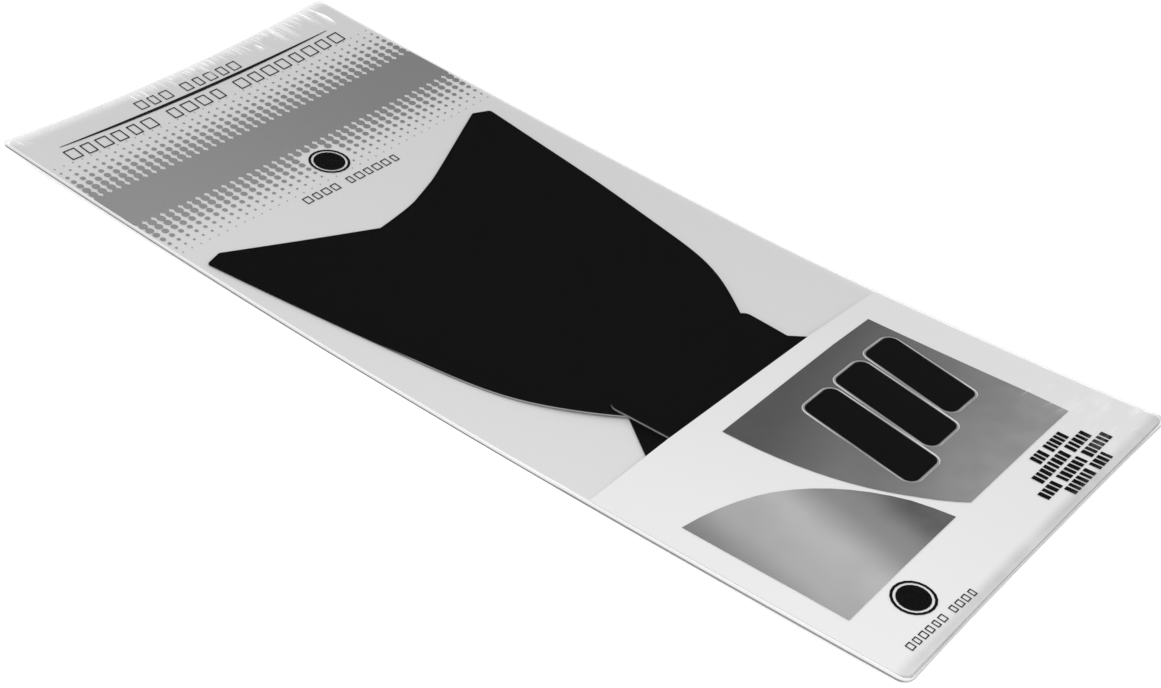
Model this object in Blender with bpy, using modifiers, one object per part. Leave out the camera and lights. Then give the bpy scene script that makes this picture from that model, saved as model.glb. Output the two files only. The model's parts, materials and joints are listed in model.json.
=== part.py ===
"""A set of self-adhesive protective film pieces on a bowed card, with a leaflet, wrapped in clear film.

Metres. +Z is up, out of the printed face. +Y points to the card's printed end, +X to its right.
The origin is the centre of the flat strip under the pack that it rests on.
"""
import math

import bmesh
import bpy

# Backing card
CARD_WIDTH = 0.2120
CARD_LENGTH = 0.4812
CARD_THICK = 0.0009
CARD_CORNER_R = 0.0045

# Clear wrap, a thin skin round the pack with a vent hole at the back
WRAP_WALL = 0.0001
WRAP_SIDE_ROOM = 0.0005
WRAP_END_ROOM = 0.00125
WRAP_END_HOLLOW = 0.0008
WRAP_HEAD_CORNER_R = 0.0015
WRAP_FOOT_CORNER_R = 0.0050
WRAP_EAR = 0.0060
WRAP_SLACK = 0.00005
WRAP_RIM_RUN = 0.0041
VENT_DIAMETER = 0.0060
VENT_FROM_SIDE = 0.0400
VENT_FROM_END = 0.1230

# Thicknesses of the sheets, and the gap between one sheet and the next
SHEET_GAP = 0.0003
INK_THICK = 0.00005
LINER_THICK = 0.0001
STICKER_THICK = 0.0004
LEAFLET_THICK = 0.00012

# Bow of the whole pack: rise of its corners, and how far its middle hangs below them
BOW_FLAT_SHARE = 0.10
HEAD_LEFT_RISE = 0.0074
HEAD_RIGHT_RISE = 0.0035
HEAD_SAG = 0.0041
HEAD_POWER = 1.60
FOOT_LEFT_RISE = 0.0056
FOOT_RIGHT_RISE = 0.0130
FOOT_SAG = -0.0010
FOOT_POWER = 1.55

# Main film piece, placed from the card's middle
EAR_SIDE_ROOM_LEFT = 0.0044
EAR_SIDE_ROOM_RIGHT = 0.0126
EAR_LEFT_Y = 0.1190
EAR_RIGHT_Y = 0.1181
EAR_CREST = 0.0033
EAR_LEFT_WIDTH = 0.0096
EAR_RIGHT_WIDTH = 0.0089
NOTCH_X = -0.0228
NOTCH_Y = 0.0881
NOTCH_FLOOR = 0.0280
NOTCH_RISE = 0.0012
BROW_R = 0.1100
SHOULDER_X = 0.0839
SHOULDER_Y = 0.0451
SHOULDER_R = 0.0600
HIP_RIGHT_X = 0.0690
HIP_RIGHT_Y = -0.0330
HIP_RIGHT_R = 0.0550
HIP_LEFT_X = -0.0778
HIP_LEFT_Y = -0.0385
HIP_LEFT_R = 0.1100
MAIN_FOOT_LEFT = -0.0463
MAIN_FOOT_RIGHT = 0.0313
MAIN_FOOT_Y = -0.0805
MAIN_FOOT_R = 0.0100

# Rear film piece, flat on the card
REAR_TOP_LEFT = -0.0403
REAR_TOP_RIGHT = 0.0222
REAR_TOP_Y = -0.0585
REAR_TOP_R = 0.0060
REAR_SIDE_LEFT = -0.0789
REAR_SIDE_RIGHT = 0.0641
REAR_FLARE_Y = -0.1084
REAR_FOOT_Y = -0.1860
REAR_FOOT_R = 0.0100

# Upper film piece, on the other two and under the leaflet
UPPER_TOP_LEFT = -0.0533
UPPER_TOP_RIGHT = 0.0455
UPPER_TOP_Y = -0.0620
UPPER_TOP_FALL = 0.0018
UPPER_TOP_R = 0.0045
UPPER_FOOT_LEFT = -0.0475
UPPER_FOOT_RIGHT = 0.0410
UPPER_FOOT_Y = -0.1760
UPPER_FOOT_R = 0.0080

# Leaflet, laid with its long side across the card's plain end, its top cut a little out of square
LEAFLET_SIDE_ROOM = 0.0010
LEAFLET_DEPTH = 0.1478
LEAFLET_TOP_FALL = 0.0040
LEAFLET_FOOT_R = 0.0040
LEAFLET_END_ROOM = 0.0004

# Print on the card, placed from its printed end
PRINT_LEAN = -0.0245
BAND_FROM_END = 0.07095
BAND_HALF = 0.0121
BAND_SIDE_MARGIN = 0.0008
DOT_PITCH_X = 0.00541
DOT_PITCH_Y = 0.00405
MERGED_DOT_R = 0.00245
OUTER_DOT_R = 0.00212
RULE_FROM_END = 0.0184
RULE_LENGTH = 0.1760
RULE_THICK = 0.0020
RULE_TIP = 0.0003
CARD_SIGN_X = 0.0015
CARD_SIGN_FROM_END = 0.1001
CARD_SIGN_R = 0.0098
SIGN_RING_WIDTH = 0.0012
SIGN_CLEAR_RING = 0.0011

# Print on the leaflet, placed from its edges
PANEL_LEFT_MARGIN = 0.0118
PANEL_RIGHT_MARGIN = 0.0224
PANEL_TOP_MARGIN = 0.0146
PANEL_HEIGHT = 0.1002
PALE_SIDE_RISE = 0.0780
PALE_FOOT_RUN = 0.0800
PALE_LEAN = 0.85
GREY_TOP_LEFT = 0.0600
GREY_FOOT_LEFT = 0.0920
GREY_LEAN = 0.35
FIELD_LINE = 0.0012
TILE_COUNT = 3
TILE_FIRST_X = 0.0840
TILE_FOOT_MARGIN = 0.0230
TILE_WIDTH = 0.0225
TILE_HEIGHT = 0.0620
TILE_PITCH = 0.0262
TILE_SLANT = 0.0130
TILE_R = 0.0045
LEAFLET_SIGN_FROM_LEFT = 0.0393
LEAFLET_SIGN_FROM_FOOT = 0.0210
LEAFLET_SIGN_R = 0.0095

# Longest stretch of a sheet between two bend lines
BEND_STEP_Y = 0.0120
ARC_STEP = math.radians(18.0)
DOT_ARC_STEP = math.radians(40.0)
OPENING_CUT_DEPTH = 0.0400

# Derived sizes
WRAP_HALF_X = CARD_WIDTH / 2 + WRAP_SIDE_ROOM
WRAP_HALF_Y = CARD_LENGTH / 2 + WRAP_END_ROOM
CARD_BASE = WRAP_WALL + SHEET_GAP
ON_CARD = CARD_BASE + CARD_THICK + SHEET_GAP
PIECE_THICK = LINER_THICK + SHEET_GAP + STICKER_THICK
PIECE_RISE = PIECE_THICK + SHEET_GAP
LEAFLET_WIDTH = CARD_WIDTH - 2 * LEAFLET_SIDE_ROOM
LEAFLET_FOOT_Y = -CARD_LENGTH / 2 + LEAFLET_END_ROOM
LEAFLET_TOP_Y = LEAFLET_FOOT_Y + LEAFLET_DEPTH
UPPER_HALF_X = max(-UPPER_TOP_LEFT, UPPER_TOP_RIGHT, -UPPER_FOOT_LEFT, UPPER_FOOT_RIGHT) + 0.0002
RIM_X = WRAP_HALF_X - WRAP_RIM_RUN
RIM_Y = WRAP_HALF_Y - WRAP_RIM_RUN
EAR_TOP_Y = max(EAR_LEFT_Y, EAR_RIGHT_Y) + EAR_CREST

SATIN_BLACK = ((0.010, 0.010, 0.011, 1.0), 0.34)
WHITE_BOARD = ((0.84, 0.84, 0.84, 1.0), 0.42)
WHITE_PAPER = ((0.87, 0.87, 0.87, 1.0), 0.50)
CREAM_LINER = ((0.72, 0.71, 0.66, 1.0), 0.40)
GREY_INK = ((0.262, 0.262, 0.262, 1.0), 0.45)
DARK_GREY_INK = ((0.115, 0.115, 0.118, 1.0), 0.45)
PALE_INK = ((0.50, 0.50, 0.50, 1.0), 0.45)
BLACK_INK = ((0.012, 0.012, 0.012, 1.0), 0.45)
CLEAR_FILM = ((0.93, 0.95, 0.96, 0.12), 0.08)


def clamp(value, low=0.0, high=1.0):
    """Return value held between low and high."""
    return max(low, min(high, value))


def ramp(value, zero_at, one_at):
    """Rise evenly from 0 at zero_at to 1 at one_at."""
    return clamp((value - zero_at) / (one_at - zero_at))


def ease(value, zero_at, one_at):
    """Rise from 0 at zero_at to 1 at one_at, gently at both ends."""
    share = ramp(value, zero_at, one_at)
    return share * share * (3.0 - 2.0 * share)


def bow(x, y):
    """Height of the pack's curved underside over the flat strip that it rests on."""
    along = abs(y) / WRAP_HALF_Y
    bent = max((along - BOW_FLAT_SHARE) / (1.0 - BOW_FLAT_SHARE), 0.0)
    across = x / WRAP_HALF_X
    if y > 0:
        left, right, sag, power = HEAD_LEFT_RISE, HEAD_RIGHT_RISE, HEAD_SAG, HEAD_POWER
    else:
        left, right, sag, power = FOOT_LEFT_RISE, FOOT_RIGHT_RISE, FOOT_SAG, FOOT_POWER
    edges = left * (1.0 - across) / 2 + right * (1.0 + across) / 2
    return bent ** power * (edges - sag * (1.0 - across * across))


def card_level(x, y):
    """Underside of what lies flat on the card."""
    return ON_CARD


def main_level(x, y):
    """Underside of the main piece, which climbs onto the rear piece at its foot."""
    return ON_CARD + PIECE_RISE * ease(y, REAR_TOP_Y + 3 * BEND_STEP_Y, REAR_TOP_Y)


def over_main_foot(y):
    """1 where a sheet lies over the main piece's foot, 0 one bend line below it."""
    return ramp(y, MAIN_FOOT_Y - BEND_STEP_Y, MAIN_FOOT_Y)


def upper_level(x, y):
    """Underside of the upper piece, over the main piece at its top and on the rear piece below."""
    return ON_CARD + PIECE_RISE * (1.0 + over_main_foot(y))


def stack_share(x, y):
    """1 over the pile of film pieces, falling to 0 at the leaflet's sides and foot."""
    side = ramp(abs(x), LEAFLET_WIDTH / 2 - 0.0010, UPPER_HALF_X)
    foot = ramp(y, REAR_FOOT_Y - 3 * BEND_STEP_Y, REAR_FOOT_Y - 0.0020)
    return side * foot


def leaflet_level(x, y):
    """Underside of the leaflet, draped over the film pieces and lying on the card beyond them."""
    return ON_CARD + 2 * PIECE_RISE * stack_share(x, y) + PIECE_RISE * over_main_foot(y)


def leaflet_print_level(x, y):
    """Underside of the leaflet's print."""
    return leaflet_level(x, y) + LEAFLET_THICK + SHEET_GAP


def wrap_level(x, y):
    """Inner height of the wrap over the pack's underside: tight over the pile, low at the rim."""
    level = ON_CARD + INK_THICK + SHEET_GAP
    if y < EAR_TOP_Y + BEND_STEP_Y:
        main_top = main_level(x, y) + PIECE_RISE + WRAP_SLACK
        level = max(level, main_top)
    if y < UPPER_TOP_Y + BEND_STEP_Y:
        side = ramp(abs(x), RIM_X, UPPER_HALF_X)
        upper_top = ON_CARD + PIECE_RISE * (2.0 + over_main_foot(y) * side) + WRAP_SLACK
        level = upper_top
    if y < LEAFLET_TOP_Y + 0.0010:
        leaflet_top = leaflet_print_level(x, y) + INK_THICK + SHEET_GAP + WRAP_SLACK
        low = ON_CARD + PIECE_RISE + WRAP_SLACK
        level = max(leaflet_top, low)
    rim = ON_CARD + 2 * WRAP_SLACK
    if y < LEAFLET_TOP_Y + BEND_STEP_Y:
        rim += LEAFLET_THICK + SHEET_GAP
    edge = min(WRAP_HALF_X - abs(x), WRAP_HALF_Y - abs(y))
    return rim + (level - rim) * clamp(edge / WRAP_RIM_RUN)


def bend_lines():
    """Return the x and y of the lines that every sheet is cut along before it is bent."""
    mid = (UPPER_HALF_X + RIM_X) / 2
    xs = [0.0]
    for x in (UPPER_HALF_X / 2, UPPER_HALF_X, mid, RIM_X):
        xs += [-x, x]
    ys = [-RIM_Y, RIM_Y]
    y = MAIN_FOOT_Y
    while y < RIM_Y - BEND_STEP_Y / 3:
        ys.append(y)
        y += BEND_STEP_Y
    y = MAIN_FOOT_Y - BEND_STEP_Y
    while y > -RIM_Y + BEND_STEP_Y / 3:
        ys.append(y)
        y -= BEND_STEP_Y
    return sorted(xs), sorted(ys)


def arc(cx, cy, radius, start, end, step=ARC_STEP):
    """Return points on an arc, its two ends included."""
    steps = max(2, math.ceil(abs(end - start) / step))
    turns = [start + (end - start) * i / steps for i in range(steps + 1)]
    return [(cx + radius * math.cos(a), cy + radius * math.sin(a)) for a in turns]


def rounded(corners):
    """Return a closed outline through (x, y, radius) corners, each rounded by its own arc."""
    points = []
    count = len(corners)
    for i, (x, y, radius) in enumerate(corners):
        if radius <= 0:
            points.append((x, y))
            continue
        px, py, _ = corners[i - 1]
        nx, ny, _ = corners[(i + 1) % count]
        back = math.atan2(py - y, px - x)
        ahead = math.atan2(ny - y, nx - x)
        opening = (ahead - back + math.pi) % (2 * math.pi) - math.pi
        half = abs(opening) / 2
        middle = back + opening / 2
        reach = radius / math.sin(half)
        cx = x + reach * math.cos(middle)
        cy = y + reach * math.sin(middle)
        sweep = math.pi - abs(opening)
        facing = middle + math.pi
        turn = -1.0 if opening > 0 else 1.0
        points += arc(cx, cy, radius, facing - turn * sweep / 2, facing + turn * sweep / 2)
    return points


def box_outline(left, right, foot, top, radius):
    """Return a rectangle with rounded corners."""
    corners = [(left, foot, radius), (right, foot, radius), (right, top, radius), (left, top, radius)]
    return rounded(corners)


def circle_outline(cx, cy, radius):
    """Return a full circle."""
    return arc(cx, cy, radius, 0.0, 2 * math.pi)[:-1]


def wrap_outline():
    """Return the wrap's outline, its two ends drawn in a little between the corners."""
    points = []
    bays = 8
    for end, radius in ((1.0, WRAP_HEAD_CORNER_R), (-1.0, WRAP_FOOT_CORNER_R)):
        corner = box_outline(-WRAP_HALF_X, WRAP_HALF_X, -WRAP_HALF_Y, WRAP_HALF_Y, radius)
        points += [p for p in corner if p[0] * end > 0 and p[1] * end > 0]
        for i in range(bays + 1):
            share = i / bays * 2.0 - 1.0
            x = -end * share * (WRAP_HALF_X - WRAP_EAR)
            y = end * (WRAP_HALF_Y - WRAP_END_HOLLOW * (1.0 - share ** 4))
            points.append((x, y))
        points += [p for p in corner if p[0] * end < 0 and p[1] * end > 0]
    return points


def main_outline():
    """Return the main piece: two pointed ears, a notch between them, and sides tapering to the foot."""
    ear_left = -CARD_WIDTH / 2 + EAR_SIDE_ROOM_LEFT
    ear_right = CARD_WIDTH / 2 - EAR_SIDE_ROOM_RIGHT
    return rounded([
        (ear_left, EAR_LEFT_Y, 0.0015),
        (HIP_LEFT_X, HIP_LEFT_Y, HIP_LEFT_R),
        (MAIN_FOOT_LEFT, MAIN_FOOT_Y, MAIN_FOOT_R),
        (MAIN_FOOT_RIGHT, MAIN_FOOT_Y, MAIN_FOOT_R),
        (HIP_RIGHT_X, HIP_RIGHT_Y, HIP_RIGHT_R),
        (SHOULDER_X, SHOULDER_Y, SHOULDER_R),
        (ear_right, EAR_RIGHT_Y, 0.0025),
        (ear_right - EAR_RIGHT_WIDTH, EAR_RIGHT_Y + EAR_CREST + 0.0009, 0.0030),
        (NOTCH_X + NOTCH_FLOOR, NOTCH_Y + NOTCH_RISE, BROW_R),
        (NOTCH_X, NOTCH_Y, 0.0),
        (ear_left + EAR_LEFT_WIDTH, EAR_LEFT_Y + EAR_CREST - 0.0008, 0.0040),
    ])


def rear_outline():
    """Return the rear piece: narrow at the top, flaring to straight sides."""
    return rounded([
        (REAR_TOP_LEFT, REAR_TOP_Y, REAR_TOP_R),
        (REAR_SIDE_LEFT, REAR_FLARE_Y, REAR_FOOT_R),
        (REAR_SIDE_LEFT, REAR_FOOT_Y, REAR_FOOT_R),
        (REAR_SIDE_RIGHT, REAR_FOOT_Y, REAR_FOOT_R),
        (REAR_SIDE_RIGHT, REAR_FLARE_Y, REAR_FOOT_R),
        (REAR_TOP_RIGHT, REAR_TOP_Y, REAR_TOP_R),
    ])


def upper_outline():
    """Return the upper piece: a rounded panel, slightly wider at the top."""
    return rounded([
        (UPPER_TOP_LEFT, UPPER_TOP_Y, UPPER_TOP_R),
        (UPPER_FOOT_LEFT, UPPER_FOOT_Y, UPPER_FOOT_R),
        (UPPER_FOOT_RIGHT, UPPER_FOOT_Y, UPPER_FOOT_R),
        (UPPER_TOP_RIGHT, UPPER_TOP_Y - UPPER_TOP_FALL, UPPER_TOP_R),
    ])


def band_outline():
    """Return the solid band with its first two rows of screen dots, merged into scalloped edges.

    In each column the inner dot is cut off by the band's edge, and the outer dot rises from it.
    The two circles meet at a neck, and each inner dot meets the next one halfway between columns.
    """
    band_y = CARD_LENGTH / 2 - BAND_FROM_END
    room = CARD_WIDTH - 2 * (BAND_SIDE_MARGIN + OUTER_DOT_R)
    side = CARD_WIDTH / 2 - BAND_SIDE_MARGIN
    gaps = int(room / DOT_PITCH_X)
    inner_y = BAND_HALF - 0.00065
    outer_y = inner_y + DOT_PITCH_Y
    r1, r2 = MERGED_DOT_R, OUTER_DOT_R
    up = (DOT_PITCH_Y ** 2 + r1 ** 2 - r2 ** 2) / (2 * DOT_PITCH_Y)
    neck = math.sqrt(max(r1 ** 2 - up ** 2, 1e-9))
    neck_in = math.atan2(up, neck)
    neck_out = math.atan2(up - DOT_PITCH_Y, neck)
    foot = math.asin(clamp((BAND_HALF - inner_y) / r1, -0.9, 0.9))
    points = []
    for sign in (1.0, -1.0):
        for i in range(gaps + 1):
            x = sign * (gaps / 2 - i) * DOT_PITCH_X
            inner = arc(0.0, inner_y, r1, foot, neck_in, DOT_ARC_STEP)
            outer = arc(0.0, outer_y, r2, neck_out, math.pi - neck_out, DOT_ARC_STEP)
            back = [(-px, py) for px, py in reversed(inner)]
            for px, py in inner + outer[1:-1] + back:
                points.append((clamp(x + sign * px, -side, side), band_y + sign * py))
    return points


def rule_outline():
    """Return the rule: straight in its middle third and drawn out to thin tips."""
    y = CARD_LENGTH / 2 - RULE_FROM_END
    half = RULE_LENGTH / 2
    steps = 12
    upper = []
    for i in range(steps + 1):
        share = i / steps * 2.0 - 1.0
        thick = RULE_TIP + (RULE_THICK - RULE_TIP) * (1.0 - abs(share) ** 2.5)
        upper.append((half * share, y + thick / 2))
    lower = [(x, 2 * y - py) for x, py in reversed(upper)]
    return upper + lower


def panel_box():
    """Return left, right, foot and top of the leaflet's picture panel."""
    top = LEAFLET_TOP_Y - PANEL_TOP_MARGIN
    left = -LEAFLET_WIDTH / 2 + PANEL_LEFT_MARGIN
    right = LEAFLET_WIDTH / 2 - PANEL_RIGHT_MARGIN
    return left, right, top - PANEL_HEIGHT, top


def sweep_curve(start, end, corner, steps=14):
    """Return points of a smooth curve from start to end that leans towards corner."""
    points = []
    for i in range(steps + 1):
        t = i / steps
        a, b, c = (1 - t) ** 2, 2 * t * (1 - t), t * t
        points.append((a * start[0] + b * corner[0] + c * end[0], a * start[1] + b * corner[1] + c * end[1]))
    return points


def pale_outline():
    """Return the pale field that fills the panel's lower left corner under a domed curve."""
    left, _, foot, _ = panel_box()
    start = (left, foot + PALE_SIDE_RISE)
    end = (left + PALE_FOOT_RUN, foot)
    corner = (left + PALE_LEAN * PALE_FOOT_RUN, foot + PALE_LEAN * PALE_SIDE_RISE)
    return sweep_curve(start, end, corner) + [(left, foot)]


def grey_outline():
    """Return the dark grey field, from a swept curve to the panel's right side."""
    left, right, foot, top = panel_box()
    start = (left + GREY_TOP_LEFT, top)
    end = (left + GREY_FOOT_LEFT, foot)
    corner = (left + GREY_TOP_LEFT, foot + GREY_LEAN * PANEL_HEIGHT)
    return sweep_curve(start, end, corner) + [(right, foot), (right, top)]


def tile_outline(index, grow):
    """Return one slanted tile of the panel, grown by a margin for the opening that it sits in."""
    left, _, foot, _ = panel_box()
    x = left + TILE_FIRST_X + index * TILE_PITCH
    low = foot + TILE_FOOT_MARGIN + index * 0.0060 - grow
    high = low + TILE_HEIGHT - index * 0.0050 + 2 * grow
    wide = TILE_WIDTH + 2 * grow
    lean = TILE_SLANT
    radius = TILE_R + grow
    return rounded([
        (x - grow, low, radius),
        (x - grow + wide, low, radius),
        (x - grow + wide + lean, high, radius),
        (x - grow + lean, high, radius),
    ])


def principled(name, look):
    """Return a new Principled material with a colour, an alpha and a roughness."""
    colour, roughness = look
    material = bpy.data.materials.new(name)
    material.use_nodes = True
    shader = material.node_tree.nodes["Principled BSDF"]
    shader.inputs["Base Color"].default_value = colour
    shader.inputs["Alpha"].default_value = colour[3]
    shader.inputs["Roughness"].default_value = roughness
    shader.inputs["Metallic"].default_value = 0.0
    return material


def flat_sheet(name, outline, thickness):
    """Return a bmesh of a flat sheet on z = 0, filled inside a closed outline by a 2D curve."""
    curve = bpy.data.curves.new(name, "CURVE")
    curve.dimensions = "2D"
    curve.fill_mode = "BOTH"
    curve.extrude = thickness / 2
    spline = curve.splines.new("POLY")
    spline.points.add(len(outline) - 1)
    for point, (x, y) in zip(spline.points, outline):
        point.co = (x, y, 0.0, 1.0)
    spline.use_cyclic_u = True
    holder = bpy.data.objects.new(name, curve)
    bpy.context.scene.collection.objects.link(holder)
    holder.location.z = thickness / 2
    bpy.context.view_layer.update()
    seen = holder.evaluated_get(bpy.context.evaluated_depsgraph_get())
    mesh = bpy.data.meshes.new_from_object(seen)
    bm = bmesh.new()
    bm.from_mesh(mesh)
    bm.transform(holder.matrix_world)
    bpy.data.meshes.remove(mesh)
    bpy.data.objects.remove(holder)
    bpy.data.curves.remove(curve)
    bmesh.ops.remove_doubles(bm, verts=bm.verts, dist=1e-6)
    for level in (0.0, thickness):
        cap = [face for face in bm.faces if all(abs(vert.co.z - level) < 1e-7 for vert in face.verts)]
        bmesh.ops.dissolve_faces(bm, faces=cap)
    bmesh.ops.recalc_face_normals(bm, faces=bm.faces[:])
    return bm


def cut_on_bend_lines(bm):
    """Cut a flat sheet along the shared bend lines, and split what is left into triangles."""
    xs, ys = bend_lines()
    for values, normal in ((xs, (1.0, 0.0, 0.0)), (ys, (0.0, 1.0, 0.0))):
        for value in values:
            place = (value, 0.0, 0.0) if normal[0] else (0.0, value, 0.0)
            everything = bm.verts[:] + bm.edges[:] + bm.faces[:]
            bmesh.ops.bisect_plane(bm, geom=everything, dist=2e-6, plane_co=place, plane_no=normal)
    bmesh.ops.dissolve_degenerate(bm, dist=2e-6, edges=bm.edges[:])
    bmesh.ops.triangulate(bm, faces=bm.faces[:])


def closed_object(name, bm):
    """Turn a closed bmesh into an object, with its faces pointing out."""
    bmesh.ops.recalc_face_normals(bm, faces=bm.faces[:])
    if bm.calc_volume(signed=True) < 0:
        bmesh.ops.reverse_faces(bm, faces=bm.faces[:])
    mesh = bpy.data.meshes.new(name)
    bm.to_mesh(mesh)
    bm.free()
    return bpy.data.objects.new(name, mesh)


def finish(name, bm, look, parts):
    """Make a named object with its own material, and place it in the collection."""
    item = closed_object(name, bm)
    item.data.materials.append(principled(name, look))
    parts.objects.link(item)
    return item


def sheet(name, outline, thickness, lift, level, look, parts, lean=0.0):
    """Make one bent sheet: a flat outline, cut on the bend lines and laid at its level on the bow.

    A lean moves it up along the card by that share of its place across the card.
    """
    bm = flat_sheet(name, outline, thickness)
    cut_on_bend_lines(bm)
    for vert in bm.verts:
        vert.co.y += lean * vert.co.x
        x, y = vert.co.x, vert.co.y
        vert.co.z += bow(x, y) + level(x, y) + lift
    return finish(name, bm, look, parts)


def add_cut(item, cutter, cutters, label):
    """Take a cutter away from an item, and keep the cutter with the others."""
    for home in list(cutter.users_collection):
        home.objects.unlink(cutter)
    cutters.objects.link(cutter)
    cutter.hide_render = True
    cutter.display_type = "WIRE"
    cut = item.modifiers.new(label, "BOOLEAN")
    cut.operation = "DIFFERENCE"
    cut.solver = "EXACT"
    cut.object = cutter


def cut_opening(item, outline, label, cutters):
    """Cut an opening right through a bent sheet."""
    cutter = closed_object(label, flat_sheet(label, outline, OPENING_CUT_DEPTH))
    add_cut(item, cutter, cutters, label)


def film_piece(name, outline, level, parts):
    """Make a film piece and the release liner under it."""
    sheet(name + "_release_liner", outline, LINER_THICK, 0.0, level, CREAM_LINER, parts)
    lift = LINER_THICK + SHEET_GAP
    sheet(name + "_film_sticker", outline, STICKER_THICK, lift, level, SATIN_BLACK, parts)


def round_sign(name, x, y, radius, level, parts, cutters):
    """Make a plain sign: a thin ring with a disc inside it."""
    ring = sheet(name + "_ring", circle_outline(x, y, radius), INK_THICK, 0.0, level, BLACK_INK, parts)
    cut_opening(ring, circle_outline(x, y, radius - SIGN_RING_WIDTH), name + "_cutter", cutters)
    disc = circle_outline(x, y, radius - SIGN_RING_WIDTH - SIGN_CLEAR_RING)
    sheet(name + "_disc", disc, INK_THICK, 0.0, level, BLACK_INK, parts)


def build_wrap(parts, cutters):
    """Make the clear wrap: a closed thin skin over the whole pack, vented at the back."""
    bm = flat_sheet("shrink_film", wrap_outline(), CARD_THICK)
    cut_on_bend_lines(bm)
    for vert in bm.verts:
        x, y = vert.co.x, vert.co.y
        top = vert.co.z > CARD_THICK / 2
        vert.co.z = bow(x, y) + (wrap_level(x, y) + WRAP_WALL if top else 0.0)
    wrap = finish("shrink_film", bm, CLEAR_FILM, parts)
    skin = wrap.modifiers.new("Skin", "SOLIDIFY")
    skin.thickness = WRAP_WALL
    skin.offset = -1.0
    skin.use_even_offset = True
    vent_x = CARD_WIDTH / 2 - VENT_FROM_SIDE
    vent_y = CARD_LENGTH / 2 - VENT_FROM_END
    depth = 0.0012
    bpy.ops.mesh.primitive_cylinder_add(vertices=16, radius=VENT_DIAMETER / 2, depth=depth)
    cutter = bpy.context.active_object
    cutter.name = "vent_cutter"
    cutter.location = (vent_x, vent_y, bow(vent_x, vent_y) + WRAP_WALL + 0.0002 - depth / 2)
    add_cut(wrap, cutter, cutters, "vent")


def build_card_print(parts, cutters):
    """Lay the band, the rule and the sign on the card's printed end."""
    band, rule = band_outline(), rule_outline()
    sheet("card_halftone_band", band, INK_THICK, 0.0, card_level, GREY_INK, parts, PRINT_LEAN)
    sheet("card_tapered_rule", rule, INK_THICK, 0.0, card_level, BLACK_INK, parts, PRINT_LEAN)
    sign_y = CARD_LENGTH / 2 - CARD_SIGN_FROM_END
    round_sign("card_sign", CARD_SIGN_X, sign_y, CARD_SIGN_R, card_level, parts, cutters)


def build_leaflet(parts, cutters):
    """Make the leaflet and the fields of its print."""
    half = LEAFLET_WIDTH / 2
    page = rounded([
        (-half, LEAFLET_FOOT_Y, LEAFLET_FOOT_R),
        (half, LEAFLET_FOOT_Y, LEAFLET_FOOT_R),
        (half, LEAFLET_TOP_Y - LEAFLET_TOP_FALL, 0.0),
        (-half, LEAFLET_TOP_Y, 0.0),
    ])
    sheet("leaflet_sheet", page, LEAFLET_THICK, 0.0, leaflet_level, WHITE_PAPER, parts)
    level = leaflet_print_level
    grey = sheet("leaflet_grey_field", grey_outline(), INK_THICK, 0.0, level, DARK_GREY_INK, parts)
    sheet("leaflet_pale_field", pale_outline(), INK_THICK, 0.0, level, PALE_INK, parts)
    for i in range(TILE_COUNT):
        cut_opening(grey, tile_outline(i, FIELD_LINE), f"tile_cutter_{i + 1}", cutters)
        sheet(f"leaflet_dark_tile_{i + 1}", tile_outline(i, 0.0), INK_THICK, 0.0, level, BLACK_INK, parts)
    sign_x = -half + LEAFLET_SIGN_FROM_LEFT
    sign_y = LEAFLET_FOOT_Y + LEAFLET_SIGN_FROM_FOOT
    round_sign("leaflet_sign", sign_x, sign_y, LEAFLET_SIGN_R, level, parts, cutters)


def main():
    """Clear the scene and build the carded set."""
    for item in list(bpy.data.objects):
        bpy.data.objects.remove(item)
    parts = bpy.data.collections.new("protective_film_set")
    cutters = bpy.data.collections.new("cutters")
    bpy.context.scene.collection.children.link(parts)
    bpy.context.scene.collection.children.link(cutters)

    half_x, half_y = CARD_WIDTH / 2, CARD_LENGTH / 2
    card = box_outline(-half_x, half_x, -half_y, half_y, CARD_CORNER_R)
    sheet("backing_card", card, CARD_THICK, CARD_BASE - ON_CARD, card_level, WHITE_BOARD, parts)
    build_card_print(parts, cutters)
    film_piece("rear", rear_outline(), card_level, parts)
    film_piece("main", main_outline(), main_level, parts)
    film_piece("upper", upper_outline(), upper_level, parts)
    build_leaflet(parts, cutters)
    build_wrap(parts, cutters)


if __name__ == "__main__":
    main()
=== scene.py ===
"""Dress the carded set of black protective film pieces in its clear wrap.

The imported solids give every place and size. This script adds the finishes, the fine print and the
creases of the wrap, then the floor, the lamps and the camera.
"""

import json
import logging
import math
import random
from collections.abc import Iterable
from dataclasses import dataclass
from enum import Enum

import bmesh
import bpy
from mathutils import Matrix, Vector
from mathutils.bvhtree import BVHTree

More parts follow.
